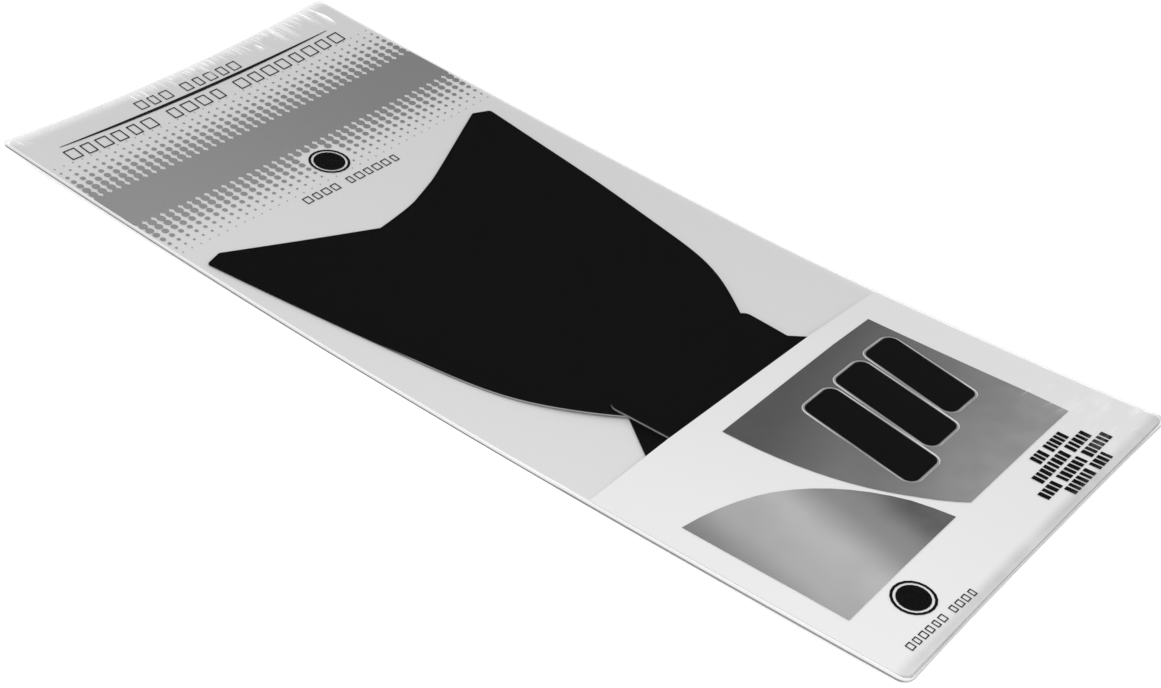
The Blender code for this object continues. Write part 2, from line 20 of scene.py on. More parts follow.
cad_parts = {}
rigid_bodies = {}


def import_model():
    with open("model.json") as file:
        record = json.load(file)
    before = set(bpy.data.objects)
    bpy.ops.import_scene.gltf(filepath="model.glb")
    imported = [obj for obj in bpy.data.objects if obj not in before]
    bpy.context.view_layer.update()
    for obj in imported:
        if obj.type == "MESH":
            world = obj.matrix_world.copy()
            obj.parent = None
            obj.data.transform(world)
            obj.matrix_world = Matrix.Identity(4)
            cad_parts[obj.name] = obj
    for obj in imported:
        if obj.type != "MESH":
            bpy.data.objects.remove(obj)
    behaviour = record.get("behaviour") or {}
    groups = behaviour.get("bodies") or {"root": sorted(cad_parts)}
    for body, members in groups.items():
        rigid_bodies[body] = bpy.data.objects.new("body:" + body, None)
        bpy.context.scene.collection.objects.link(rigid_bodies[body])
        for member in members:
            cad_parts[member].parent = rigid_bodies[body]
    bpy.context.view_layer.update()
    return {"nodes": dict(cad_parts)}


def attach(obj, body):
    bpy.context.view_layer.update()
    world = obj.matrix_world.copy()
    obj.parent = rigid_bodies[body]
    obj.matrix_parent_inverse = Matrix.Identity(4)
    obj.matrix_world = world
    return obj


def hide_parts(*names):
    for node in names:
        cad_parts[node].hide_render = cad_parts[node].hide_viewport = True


LOG = logging.getLogger("film_set")
PRINT_LEAN = -0.0245  # how far the card's print climbs for each metre to the right
INK_RISE = 0.00031  # height of loose print over its sheet, in metres
SAME_PLACE = 1e-6  # corners closer than this, in metres, are one
SHARP_TURN = math.radians(30.0)  # an edge that turns more is shaded sharp
BROAD_TILT = 0.5  # the normal of a broad side has more than this of Z
GRAIN_DARKENING = 4.0  # how much darker the grain is than its finish, in grain shares
GRAIN_COVER = 0.25  # the largest share of dark grain
ROUGH_SPREAD = 0.05  # how far the grain moves the roughness
LEAST_ROUGH = 0.02
PURE_WHITE = (1.0, 1.0, 1.0, 1.0)

Span = tuple[float, float]
Colour = tuple[float, float, float]
Nodes = dict[str, bpy.types.Object]
Socket = bpy.types.NodeSocket
Value = Socket | float | tuple[float, ...]


class Film(Enum):
    """The three film pieces, from the lowest up."""

    REAR = "rear"
    MAIN = "main"
    UPPER = "upper"


class Paint(Enum):
    """The names of the vertex paint that materials read."""

    # share of painted highlight along a film piece's cut edge
    RIM_LIGHT = "rim"
    RISE = "rise"
    GLINT = "glint"


def grey(level: float) -> Colour:
    """Return a neutral colour."""
    return (level, level, level)


class Board:
    """One material's node tree, with short calls to wire it."""

    def __init__(self, name: str) -> None:
        """Start a material.

        Args:
            name: The material's name.
        """
        self.material = bpy.data.materials.new(name)
        self.material.use_nodes = True
        self.material.cycles.emission_sampling = "NONE"
        self.tree = self.material.node_tree
        self.shader = self.tree.nodes["Principled BSDF"]
        self.spot = self.tree.nodes.new("ShaderNodeTexCoord").outputs["Object"]

    def set(self, **inputs: Value) -> None:
        """Set the shader's constants.

        Args:
            inputs: Values by input name, with underscores in place of spaces.
        """
        for name, value in inputs.items():
            self.shader.inputs[name.replace("_", " ")].default_value = value

    def feed(self, socket: Socket, value: Value) -> None:
        """Link a socket to another, or set its constant.

        Args:
            socket: The input socket.
            value: An output socket, a number or a colour.
        """
        if isinstance(value, Socket):
            self.tree.links.new(value, socket)
        else:
            socket.default_value = value

    def math(self, operation: str, *values: Value) -> Socket:
        """Return the result of a sum on one to three values.

        Args:
            operation: The name of the Math node's operation.
            values: Numbers or sockets.

        Returns:
            The result's socket.
        """
        node = self.tree.nodes.new("ShaderNodeMath")
        node.operation = operation
        for socket, value in zip(node.inputs, values):
            self.feed(socket, value)
        return node.outputs["Value"]

    def times(self, first: Value, second: Value) -> Socket:
        """Return the product of two values."""
        return self.math("MULTIPLY", first, second)

    def plus(self, first: Value, second: Value) -> Socket:
        """Return the sum of two values."""
        return self.math("ADD", first, second)

    def rest(self, share: Value) -> Socket:
        """Return what a share leaves of one."""
        return self.math("SUBTRACT", 1.0, share)

    def span(
        self, value: Value, start: float, end: float, low: float = 0.0, high: float = 1.0
    ) -> Socket:
        """Return low at start, high at end and a smooth step between.

        Args:
            value: The socket that moves along.
            start: The value that gives low.
            end: The value that gives high.
            low: The first result.
            high: The last result.

        Returns:
            The result's socket.
        """
        node = self.tree.nodes.new("ShaderNodeMapRange")
        node.interpolation_type = "SMOOTHSTEP"
        self.feed(node.inputs["Value"], value)
        for name, number in (("From Min", start), ("From Max", end), ("To Min", low), ("To Max", high)):
            node.inputs[name].default_value = number
        return node.outputs["Result"]

    def axes(self, vector: Value) -> list[Socket]:
        """Return a vector's three parts.

        Args:
            vector: The vector's socket.

        Returns:
            The sockets of X, Y and Z.
        """
        node = self.tree.nodes.new("ShaderNodeSeparateXYZ")
        self.feed(node.inputs["Vector"], vector)
        return [node.outputs[axis] for axis in "XYZ"]

    def wall(self) -> Socket:
        """Return 1 on a sheet's cut edge and 0 on its broad sides."""
        geometry = self.tree.nodes.new("ShaderNodeNewGeometry")
        _, _, up = self.axes(geometry.outputs["True Normal"])
        return self.math("LESS_THAN", self.math("ABSOLUTE", up), BROAD_TILT)

    def paint(self, kind: Paint) -> Socket:
        """Return a vertex paint's level.

        Args:
            kind: The paint.

        Returns:
            The level's socket.
        """
        node = self.tree.nodes.new("ShaderNodeAttribute")
        node.attribute_name = kind.value
        return node.outputs["Fac"]

    def noise(
        self, scale: float, detail: float = 3.0, stretch: Colour = (1.0, 1.0, 1.0)
    ) -> Socket:
        """Return a noise over the piece's own coordinates.

        Args:
            scale: How fine it is.
            detail: Its layers.
            stretch: How much finer it is along each axis.

        Returns:
            The noise's socket.
        """
        node = self.tree.nodes.new("ShaderNodeTexNoise")
        node.inputs["Scale"].default_value = scale
        node.inputs["Detail"].default_value = detail
        spread = self.tree.nodes.new("ShaderNodeVectorMath")
        spread.operation = "MULTIPLY"
        spread.inputs[1].default_value = stretch
        self.feed(spread.inputs[0], self.spot)
        self.feed(node.inputs["Vector"], spread.outputs["Vector"])
        return node.outputs["Fac"]

    def mix(self, share: Value, first: Value, second: Value) -> Socket:
        """Return the blend of two colours.

        Args:
            share: How much of the second.
            first: The first colour.
            second: The second colour.

        Returns:
            The blend's socket.
        """
        node = self.tree.nodes.new("ShaderNodeMix")
        node.data_type = "RGBA"
        self.feed(node.inputs["Factor"], share)
        for name, colour in (("A", first), ("B", second)):
            linked = isinstance(colour, Socket)
            self.feed(node.inputs[name], colour if linked else (*colour, 1.0))
        return node.outputs["Result"]

    def bump(self, height: Value, strength: float, distance: float = 0.0001) -> None:
        """Raise the surface by a height.

        Args:
            height: The height's socket.
            strength: How much of it shows.
            distance: The height of one unit, in metres.
        """
        node = self.tree.nodes.new("ShaderNodeBump")
        node.inputs["Strength"].default_value = strength
        node.inputs["Distance"].default_value = distance
        self.feed(node.inputs["Height"], height)
        self.feed(self.shader.inputs["Normal"], node.outputs["Normal"])


@dataclass(frozen=True)
class Fade:
    """A change of tone across a printed field."""

    along: tuple[float, float]
    start: float
    end: float
    stops: tuple[tuple[float, float], ...]

    def wire(self, board: Board) -> Socket:
        """Wire the fade as a colour ramp.

        Args:
            board: The material.

        Returns:
            The ramp's colour socket.
        """
        x, y, _ = board.axes(board.spot)
        way = board.plus(board.times(x, self.along[0]), board.times(y, self.along[1]))
        share = board.math("DIVIDE", board.math("SUBTRACT", way, self.start), self.end - self.start)
        ramp = board.tree.nodes.new("ShaderNodeValToRGB")
        ramp.color_ramp.interpolation = "EASE"
        points = ramp.color_ramp.elements
        while len(points) < len(self.stops):
            points.new(0.5)
        for point, (place, level) in zip(points, self.stops):
            point.position = place
            point.color = (*grey(level), 1.0)
        board.feed(ramp.inputs["Fac"], share)
        return ramp.outputs["Color"]


@dataclass(frozen=True)
class Finish:
    """One surface finish: its colour, gloss and fine grain."""

    name: str
    colour: Colour
    roughness: float = 0.5
    gloss: float = 0.5
    grain_scale: float = 900.0
    grain_share: float = 0.04
    bump: float = 0.0
    # edge is the colour of the cut edges; with rim set, its share comes from the rim paint and is a
    # painted highlight
    edge: Colour | None = None
    rim: bool = False
    fade: Fade | None = None

    def make(self) -> bpy.types.Material:
        """Build the node material of this finish.

        Returns:
            A Principled material with procedural grain in its colour, roughness and bump.
        """
        board = Board(self.name)
        board.set(Specular_IOR_Level=self.gloss)
        grain = board.noise(self.grain_scale)
        face = self.fade.wire(board) if self.fade is not None else self.colour
        dark = tuple(c * (1.0 - GRAIN_DARKENING * self.grain_share) for c in self.colour)
        result = board.mix(board.span(grain, 0.3, 0.7, GRAIN_COVER, 0.0), face, dark)
        # With rim set, the edge colour is a painted highlight along the cut edge that faces the key
        # lamp; without it, it covers every cut edge
        if self.edge is not None:
            share = board.span(board.paint(Paint.RIM_LIGHT), 0.15, 0.95) if self.rim else board.wall()
            result = board.mix(share, result, self.edge)
        board.feed(board.shader.inputs["Base Color"], result)
        low = max(self.roughness - ROUGH_SPREAD, LEAST_ROUGH)
        high = min(self.roughness + ROUGH_SPREAD, 1.0)
        board.feed(board.shader.inputs["Roughness"], board.span(grain, 0.2, 0.8, low, high))
        if self.bump > 0.0:
            board.bump(grain, self.bump)
        return board.material


WHITE_BOARD = Finish("white_board", grey(0.80), 0.42, 0.30, 1400.0, 0.012, 0.05, (0.70, 0.70, 0.69))
WHITE_PAPER = Finish("white_paper", grey(0.885), 0.55, 0.22, 2200.0, 0.012, 0.06)
# The liner's cream is darkened to grey: painted shade under the film's edge
CREAM_LINER_IN_PAINTED_SHADE = Finish("cream_liner", (0.30, 0.30, 0.29), 0.45, 0.30, 1500.0, 0.03, 0.05)
# The film's grey edge colour is a painted highlight along its lit cut edge
SATIN_BLACK_AND_RIM_HIGHLIGHT = Finish("satin_black_film", grey(0.0042), 0.44, 0.035, 2600.0, 0.06, 0.03, grey(0.42), True)
# The grey ink runs lighter on the left than on the right: painted light, brightest on the key lamp's
# side
GREY_INK_WITH_PAINTED_LIGHT = Finish(
    "grey_ink", grey(0.290), 0.45, 0.2, 3000.0, 0.02,
    fade=Fade((1.0, 0.0), -0.105, 0.105, ((0.0, 0.330), (1.0, 0.262))),
)
BLACK_INK = Finish("black_ink", grey(0.005), 0.45, 0.04, 3000.0, 0.08)
SOFT_BLACK_INK = Finish("soft_black_ink", grey(0.013), 0.45, 0.06, 3000.0, 0.08)
LINE_GREY_INK = Finish("line_grey_ink", grey(0.36), 0.45, 0.2, 500.0, 0.06)
FIELD_INK = Finish(
    "field_grey_ink", grey(0.16), 0.45, 0.2, 55.0, 0.06,
    fade=Fade((0.25, -1.0), 0.110, 0.225, ((0.0, 0.095), (0.45, 0.20), (1.0, 0.36))),
)
DOME_INK = Finish(
    "dome_pale_ink", grey(0.40), 0.45, 0.2, 45.0, 0.05,
    fade=Fade(
        (1.0, -0.25), -0.062, 0.030, ((0.0, 0.22), (0.28, 0.44), (0.50, 0.50), (0.74, 0.26), (1.0, 0.09))
    ),
)


class Ground:
    """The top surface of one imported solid, to lay fine pieces on."""

    def __init__(self, node: bpy.types.Object) -> None:
        """Read the solid's surface.

        Args:
            node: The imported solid.
        """
        bm = bmesh.new()
        bm.from_mesh(node.data)
        self._tree = BVHTree.FromBMesh(bm)
        bm.free()

    def top(self, x: float, y: float) -> float:
        """Return the height of the surface under a point.

        Args:
            x: Place across the card, in metres.
            y: Place along the card, in metres.

        Returns:
            The height in metres, or past the solid's edge that of the nearest place on it.
        """
        hit, _, _, _ = self._tree.ray_cast(Vector((x, y, 1.0)), Vector((0.0, 0.0, -1.0)))
        if hit is None:
            hit, _, _, _ = self._tree.find_nearest(Vector((x, y, 0.01)))
        return hit.z

    def lay(self, bm: bmesh.types.BMesh, rise: float) -> None:
        """Drop every vertex of a flat mesh to a height over the surface.

        Args:
            bm: The mesh.
            rise: The height over the surface, in metres.
        """
        for vert in bm.verts:
            vert.co.z = self.top(vert.co.x, vert.co.y) + rise


def add_piece(
    name: str, bm: bmesh.types.BMesh, finish: bpy.types.Material
) -> bpy.types.Object:
    """Turn a bmesh into a piece that rides on the set.

    Args:
        name: The piece's name.
        bm: Its mesh, which is freed.
        finish: Its material.

    Returns:
        The new object.
    """
    mesh = bpy.data.meshes.new(name)
    bm.to_mesh(mesh)
    bm.free()
    mesh.materials.append(finish)
    piece = bpy.data.objects.new(name, mesh)
    bpy.context.scene.collection.objects.link(piece)
    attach(piece, "root")
    LOG.info("%s: %d faces", name, len(mesh.polygons))
    return piece


def joined(node: bpy.types.Object) -> bmesh.types.BMesh:
    """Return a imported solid's mesh with its corners joined and its broad faces smooth.

    Args:
        node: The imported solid.

    Returns:
        The new mesh.
    """
    bm = bmesh.new()
    bm.from_mesh(node.data)
    bmesh.ops.remove_doubles(bm, verts=bm.verts, dist=SAME_PLACE)
    for face in bm.faces:
        face.smooth = True
    for edge in bm.edges:
        if len(edge.link_faces) == 2 and edge.calc_face_angle(0.0) > SHARP_TURN:
            edge.smooth = False
    return bm


def is_broad(face: bmesh.types.BMFace) -> bool:
    """Return whether a face is part of a sheet's broad side."""
    return abs(face.normal.z) > BROAD_TILT


def rim_edges(edges: Iterable[bmesh.types.BMEdge]) -> list[bmesh.types.BMEdge]:
    """Return those edges where a sheet's broad side meets its cut edge.

    Args:
        edges: The edges to look through.

    Returns:
        The edges on the rim.
    """
    sides = [(edge, [is_broad(face) for face in edge.link_faces]) for edge in edges]
    return [edge for edge, broad in sides if len(broad) == 2 and broad[0] != broad[1]]


@dataclass(frozen=True)
class CurveEasing:
    """How a sheet's cut outline is split finer and its long curves eased.

    Attributes:
        step: The longest edge that is left whole, in metres.
        splits: How often longer edges are halved.
        corner: The turn that counts as a true corner, in degrees.
        slight: The least turn at a vertex of a small arc, in degrees.
        tight: The turn for each metre of outline that counts as a small arc, in degrees.
        rounds: How often the curves are eased.
    """

    step: float = 0.0022
    splits: int = 5
    corner: float = 22.0
    slight: float = 3.0
    tight: float = 3000.0
    rounds: int = 110

    def apply(self, bm: bmesh.types.BMesh) -> None:
        """Ease the long curves, with true corners and small arcs kept.

        Args:
            bm: The sheet's mesh.
        """
        fixed = {tuple(vert.co) for vert in bm.verts if self._is_kept(vert)}
        for _ in range(self.splits):
            long = [edge for edge in rim_edges(bm.edges) if edge.calc_length() > self.step]
            bmesh.ops.subdivide_edges(bm, edges=long, cuts=1)
        loops = {v: [e.other_vert(v) for e in rim_edges(v.link_edges)] for v in bm.verts}
        free = {v: pair for v, pair in loops.items() if len(pair) == 2 and tuple(v.co) not in fixed}
        for _ in range(self.rounds):
            eased = {v: v.co.lerp((pair[0].co + pair[1].co) / 2, 0.5) for v, pair in free.items()}
            for vert, place in eased.items():
                vert.co = place

    def _is_kept(self, vert: bmesh.types.BMVert) -> bool:
        """Return whether a vertex is a true corner or part of a small arc.

        Args:
            vert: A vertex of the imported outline.

        Returns:
            True if it stays where it is.
        """
        ends = [e.other_vert(vert).co - vert.co for e in rim_edges(vert.link_edges)]
        if len(ends) != 2:
            return False
        turn = math.degrees(ends[0].angle(-ends[1], 0.0))
        reach = (ends[0].length + ends[1].length) / 2
        return turn > self.corner or (turn > self.slight and turn / reach > self.tight)


@dataclass(frozen=True)
class RimLight:
    """The fine line of light along the turned edge of a film piece."""

    width: float = 0.00055
    toward: tuple[float, float] = (-0.85, -0.53)
    y_low: float = -1.0
    y_high: float = 1.0
    fade: float = 0.03
    peak: float = 1.0
    gain: float = 1.6

    def paint(self, bm: bmesh.types.BMesh) -> None:
        """Cut a narrow border round the top side and paint how bright each vertex's edge is.

        Args:
            bm: The film piece's mesh.
        """
        layer = bm.verts.layers.float.new(Paint.RIM_LIGHT.value)
        top = [f for f in bm.faces if f.normal.z > BROAD_TILT]
        bmesh.ops.inset_region(
            bm, faces=top, thickness=self.width, use_boundary=True, use_even_offset=True
        )
        for face in bm.faces:
            if is_broad(face):
                continue
            facing = Vector((face.normal.x, face.normal.y)).normalized().dot(Vector(self.toward))
            for vert in face.verts:
                vert[layer] = max(vert[layer], self._level(facing, vert.co.y))

    def _level(self, facing: float, y: float) -> float:
        """Return how bright the edge is at a place.

        Args:
            facing: How far the edge faces the light, from -1 to 1.
            y: The place along the card, in metres.

        Returns:
            A share from 0 to the peak.
        """
        ends = min(max((y - self.y_low) / self.fade, 0.0), max((self.y_high - y) / self.fade, 0.0), 1.0)
        return self.peak * ends * min(max(facing * self.gain, 0.0), 1.0)


def smooth_copy(
    node: bpy.types.Object, name: str, finish: bpy.types.Material,
    easing: CurveEasing | None = None, light: RimLight | None = None,
) -> bpy.types.Object:
    """Stand a smooth-shaded copy of a packed sheet in for it, in the same place.

    Args:
        node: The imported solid.
        name: The new piece's name.
        finish: Its material.
        easing: How its long curves are eased, if it has them.
        light: How its cut edge catches the light, if it does.

    Returns:
        The new piece.
    """
    bm = joined(node)
    if easing is not None:
        easing.apply(bm)
    if light is not None:
        light.paint(bm)
    piece = add_piece(name, bm, finish)
    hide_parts(node.name)
    return piece


def ink(nodes: Nodes, looks: dict[str, Finish]) -> None:
    """Give packed print its inks.

    Args:
        nodes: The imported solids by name.
        looks: The finish of each.
    """
    for name, finish in looks.items():
        nodes[name].data.materials.clear()
        nodes[name].data.materials.append(finish.make())


@dataclass(frozen=True)
class BoxRow:
    """A row of plain slanted boxes in groups, which stands where a line of print is."""

    name: str
    left: float
    right: float
    y: float
    height: float
    groups: tuple[int, ...]
    stroke: float
    fill: float = 0.80
    slant: float = 0.10
    lean: float = 0.0
    group_gap: float = 0.7
    widths: tuple[float, ...] = (1.0, 0.84, 1.0, 0.92, 0.76)

    def build(self, ground: Ground, finish: Finish, slot: str) -> None:
        """Lay the row, hollow where it has a stroke and solid where it has none.

        Args:
            ground: The surface that it is printed on.
            finish: Its ink.
            slot: Not used.
        """
        bm = bmesh.new()
        step = (self.right - self.left) / (sum(self.groups) + self.group_gap * (len(self.groups) - 1))
        shear = Matrix.Identity(4)
        shear[0][1] = self.slant
        for index, share in enumerate(self._middles()):
            wide = step * self.fill * self.widths[index % len(self.widths)]
            x = self.left + share * step
            place = Matrix.Translation((x, self.y + self.lean * x, 0.0))
            size = Matrix.Diagonal((wide / 2, self.height / 2, 1.0, 1.0))
            bmesh.ops.create_grid(bm, x_segments=1, y_segments=1, size=1.0, matrix=place @ shear @ size)
        if self.stroke > 0.0:
            middles = bm.faces[:]
            bmesh.ops.inset_individual(bm, faces=middles, thickness=self.stroke, use_even_offset=True)
            bmesh.ops.delete(bm, geom=middles, context="FACES")
        ground.lay(bm, INK_RISE)
        add_piece(self.name, bm, finish.make())

    def _middles(self) -> list[float]:
        """Return each box's middle, in steps from the row's left end."""
        starts = [sum(self.groups[:g]) + self.group_gap * g for g in range(len(self.groups))]
        return [start + i + 0.5 for start, count in zip(starts, self.groups) for i in range(count)]


@dataclass
class BoardCard:
    """The bowed backing card and its print."""

    pitch_x: float = 0.00541
    pitch_y: float = 0.00405
    band_y: float = 0.16965
    first_row: float = 0.01955
    columns: int = 39
    dots: tuple[float, ...] = (0.00375, 0.0032, 0.0025, 0.0018, 0.0012, 0.0007)
    dot_corners: int = 14
    near_gain: float = 0.05
    near_reach: float = 0.1
    sign: tuple[float, float] = (0.0015, 0.1405)
    sign_room: float = 0.0108
    rows: tuple[BoxRow, ...] = (
        BoxRow(
            "card_box_row_upper", -0.0350, 0.0330, 0.2286, 0.0068, (3, 5),
            0.00060, 0.72, 0.10, -0.035,
        ),
        BoxRow(
            "card_box_row_lower", -0.0915, 0.0912, 0.2146, 0.0078, (6, 4, 8),
            0.00068, 0.74, 0.10, -0.0265,
        ),
        BoxRow(
            "card_box_row_small", -0.0330, 0.0298, 0.1237, 0.0048, (4, 6),
            0.00058, 0.74, 0.10, -0.045,
        ),
    )

    def build(self, nodes: Nodes) -> None:
        """Build the card and everything printed on it.

        Args:
            nodes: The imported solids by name.
        """
        ground = Ground(nodes["backing_card"])
        smooth_copy(nodes["backing_card"], "card_board", WHITE_BOARD.make())
        self._screen(ground)
        for row in self.rows:
            row.build(ground, SOFT_BLACK_INK, "card_tapered_rule")
        ink(nodes, {
            "card_halftone_band": GREY_INK_WITH_PAINTED_LIGHT, "card_tapered_rule": SOFT_BLACK_INK,
            "card_sign_ring": BLACK_INK, "card_sign_disc": BLACK_INK,
        })

    def _screen(self, ground: Ground) -> None:
        """Lay the loose dots of the screen, in rows that shrink away from the band.

        Args:
            ground: The card's surface.
        """
        bm = bmesh.new()
        for side in (1.0, -1.0):
            for row, size in enumerate(self.dots):
                for column in range(self.columns):
                    x = (column - (self.columns - 1) / 2) * self.pitch_x
                    y = self.band_y + PRINT_LEAN * x + side * (self.first_row + row * self.pitch_y)
                    if math.dist((x, y), self.sign) < self.sign_room + size / 2:
                        continue
                    wide = size / 2 * (1.0 - self.near_gain * x / self.near_reach)
                    place = Matrix.Translation((x, y, 0.0))
                    bmesh.ops.create_circle(
                        bm, cap_ends=True, segments=self.dot_corners, radius=wide, matrix=place
                    )
        ground.lay(bm, INK_RISE)
        add_piece("card_screen_dots", bm, GREY_INK_WITH_PAINTED_LIGHT.make())


@dataclass
class FilmPieces:
    """The three black film pieces and their release liners."""

    lights: tuple[tuple[Film, RimLight], ...] = (
        (Film.REAR, RimLight(peak=0.10)),
        (Film.MAIN, RimLight(y_low=-0.100, y_high=0.040, peak=0.80)),
        (Film.UPPER, RimLight(width=0.00025, fade=0.004, peak=0.62)),
    )
    easing: CurveEasing = CurveEasing()

    def build(self, nodes: Nodes) -> None:
        """Build each film piece over its liner.

        Args:
            nodes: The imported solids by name.
        """
        liner_in_painted_shade = CREAM_LINER_IN_PAINTED_SHADE.make()
        black = SATIN_BLACK_AND_RIM_HIGHLIGHT.make()
        for film, light in self.lights:
            name = film.value
            smooth_copy(nodes[f"{name}_release_liner"], f"{name}_liner", liner_in_painted_shade, self.easing)
            smooth_copy(nodes[f"{name}_film_sticker"], f"{name}_film", black, self.easing, light)


@dataclass
class Leaflet:
    """The thin leaflet over the card's plain end, and its print."""

    line_reach: float = 0.0009
    line_rise: float = 0.00016
    line_join: float = 1e-5
    tiles: tuple[str, ...] = ("leaflet_dark_tile_1", "leaflet_dark_tile_2", "leaflet_dark_tile_3")
    rows: tuple[BoxRow, ...] = (
        BoxRow("leaflet_note_row_1", 0.0405, 0.0665, -0.2136, 0.0054, (3, 5), 0.0, 0.78, 0.0),
        BoxRow("leaflet_note_row_2", 0.0298, 0.0742, -0.2204, 0.0054, (8, 5), 0.0, 0.78, 0.0),
        BoxRow("leaflet_note_row_3", 0.0222, 0.0795, -0.2274, 0.0054, (4, 6, 6), 0.0, 0.78, 0.0),
        BoxRow("leaflet_note_row_4", 0.0328, 0.0672, -0.2340, 0.0054, (6, 4), 0.0, 0.78, 0.0),
    )
    small_row: BoxRow = BoxRow(
        "leaflet_box_row_small", -0.0915, -0.0455, -0.2376, 0.0038, (6, 4), 0.00052, 0.74, 0.10, -0.060
    )

    def build(self, nodes: Nodes) -> None:
        """Build the leaflet, dress its printed fields and lay its lines of boxes.

        Args:
            nodes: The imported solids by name.
        """
        ground = Ground(nodes["leaflet_sheet"])
        smooth_copy(nodes["leaflet_sheet"], "leaflet_paper", WHITE_PAPER.make())
        looks = {
            "leaflet_grey_field": FIELD_INK, "leaflet_pale_field": DOME_INK,
            "leaflet_sign_ring": BLACK_INK, "leaflet_sign_disc": BLACK_INK,
        }
        looks.update({name: BLACK_INK for name in self.tiles})
        ink(nodes, looks)
        for name in self.tiles:
            self._line(ground, nodes[name])
        for row in self.rows:
            row.build(ground, BLACK_INK, "leaflet_sign_disc")
        self.small_row.build(ground, SOFT_BLACK_INK, "leaflet_sign_disc")

    def _line(self, ground: Ground, tile: bpy.types.Object) -> None:
        """Lay the grey that shows as a line round one dark tile, under the grey field.

        Args:
            ground: The leaflet's surface.
            tile: The tile.
        """
        bm = bmesh.new()
        bm.from_mesh(tile.data)
        middle = sum((v.co for v in bm.verts), Vector()) / len(bm.verts)
        for vert in bm.verts:
            vert.co += (vert.co - middle).normalized() * self.line_reach
        bmesh.ops.remove_doubles(bm, verts=bm.verts, dist=self.line_join)
        lowered = [f for f in bm.faces if f.normal.z < BROAD_TILT]
        bmesh.ops.delete(bm, geom=lowered, context="FACES")
        ground.lay(bm, self.line_rise)
        add_piece(f"{tile.name}_line", bm, LINE_GREY_INK.make())


@dataclass(frozen=True)
class Crease:
    """One crease of the wrap that catches the light."""

    x: float
    y: float
    length: float
    width: float
    heading: float
    bend: float = 0.0
    peak: float = 1.0


@dataclass(frozen=True)
class CreaseRow:
    """How the creases of one row vary."""

    count: int
    length: Span
    width: Span
    heading: Span
    bend: Span
    peak: Span

    def draw(self, rng: random.Random) -> list[float]:
        """Return a length, a width, a heading, a bend and a peak, drawn in that order."""
        ranges = (self.length, self.width, self.heading, self.bend, self.peak)
        return [rng.uniform(*ends) for ends in ranges]


